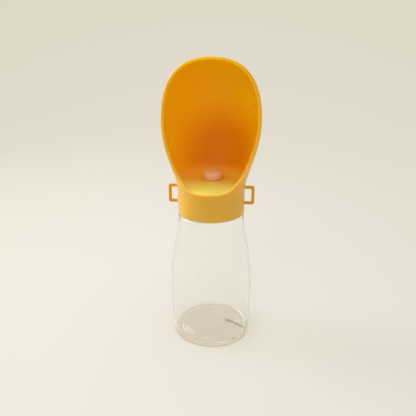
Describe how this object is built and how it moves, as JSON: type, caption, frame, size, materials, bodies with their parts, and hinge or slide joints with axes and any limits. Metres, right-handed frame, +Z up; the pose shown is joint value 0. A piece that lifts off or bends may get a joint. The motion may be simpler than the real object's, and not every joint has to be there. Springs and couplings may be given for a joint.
{
  "type": "dog travel water bottle",
  "caption": "Clear squeeze bottle with a screw-on orange scoop head: a key in the collar opens a valve, and water fills the hooded drinking bowl on top.",
  "frame": {"origin": "centre of the foot ring, on the surface that the bottle stands on", "axes": "+Z up along the bottle's axis; the scoop's open side faces -Y and the key is at +Y; +X is to the right seen from the open side"},
  "size_m": [0.089, 0.0837, 0.2629],
  "materials": {
    "orange_plastic": "satin injection-moulded polypropylene",
    "clear_plastic": "clear, polished, blow-moulded",
    "white_plastic": "plain moulded",
    "pale_silicone": "translucent satin silicone",
    "grey_rubber": "satin O-ring rubber",
    "steel": "plain stainless"
  },
  "bodies": {
    "bottle": {"bottle": "clear_plastic"},
    "neck_seal": {"neck_gasket": "pale_silicone"},
    "head": {"head_shell": "orange_plastic", "inner_cap": "white_plastic", "snap_ring": "steel", "valve_body": "white_plastic", "valve_screws": "steel", "port_seal": "grey_rubber", "end_plug": "white_plastic", "end_plug_seal": "grey_rubber", "inlet_strainer": "white_plastic", "vent_valve": "pale_silicone", "outlet_nub": "pale_silicone", "return_spring": "steel"},
    "key": {"key_cap": "orange_plastic", "valve_stem": "white_plastic", "poppet": "white_plastic", "poppet_seal": "grey_rubber", "stem_seal": "grey_rubber"},
    "guard": {"key_guard": "orange_plastic"}
  },
  "joints": [
    {"name": "head_rise", "type": "slide", "parent": "bottle", "child": "neck_seal", "axis": [0, 0, 1], "range_m": [0, 0.00601]},
    {"name": "head_turn", "type": "hinge", "parent": "neck_seal", "child": "head", "pos_m": [0, 0, 0.13], "axis": [0, 0, 1], "range_deg": [0, 540]},
    {"name": "key_press", "type": "slide", "parent": "head", "child": "key", "axis": [0, -1, 0], "range_m": [0, 0.0035], "stiffness_N_per_m": 1000, "springref_m": -0.003, "deforming": ["return_spring"]},
    {"name": "guard_slide", "type": "slide", "parent": "head", "child": "guard", "axis": [0, 0, 1], "range_m": [0, 0.011]}
  ],
  "couplings": [
    {"joint": "head_rise", "follows": "head_turn", "m_per_rad": 0.00063662}
  ]
}
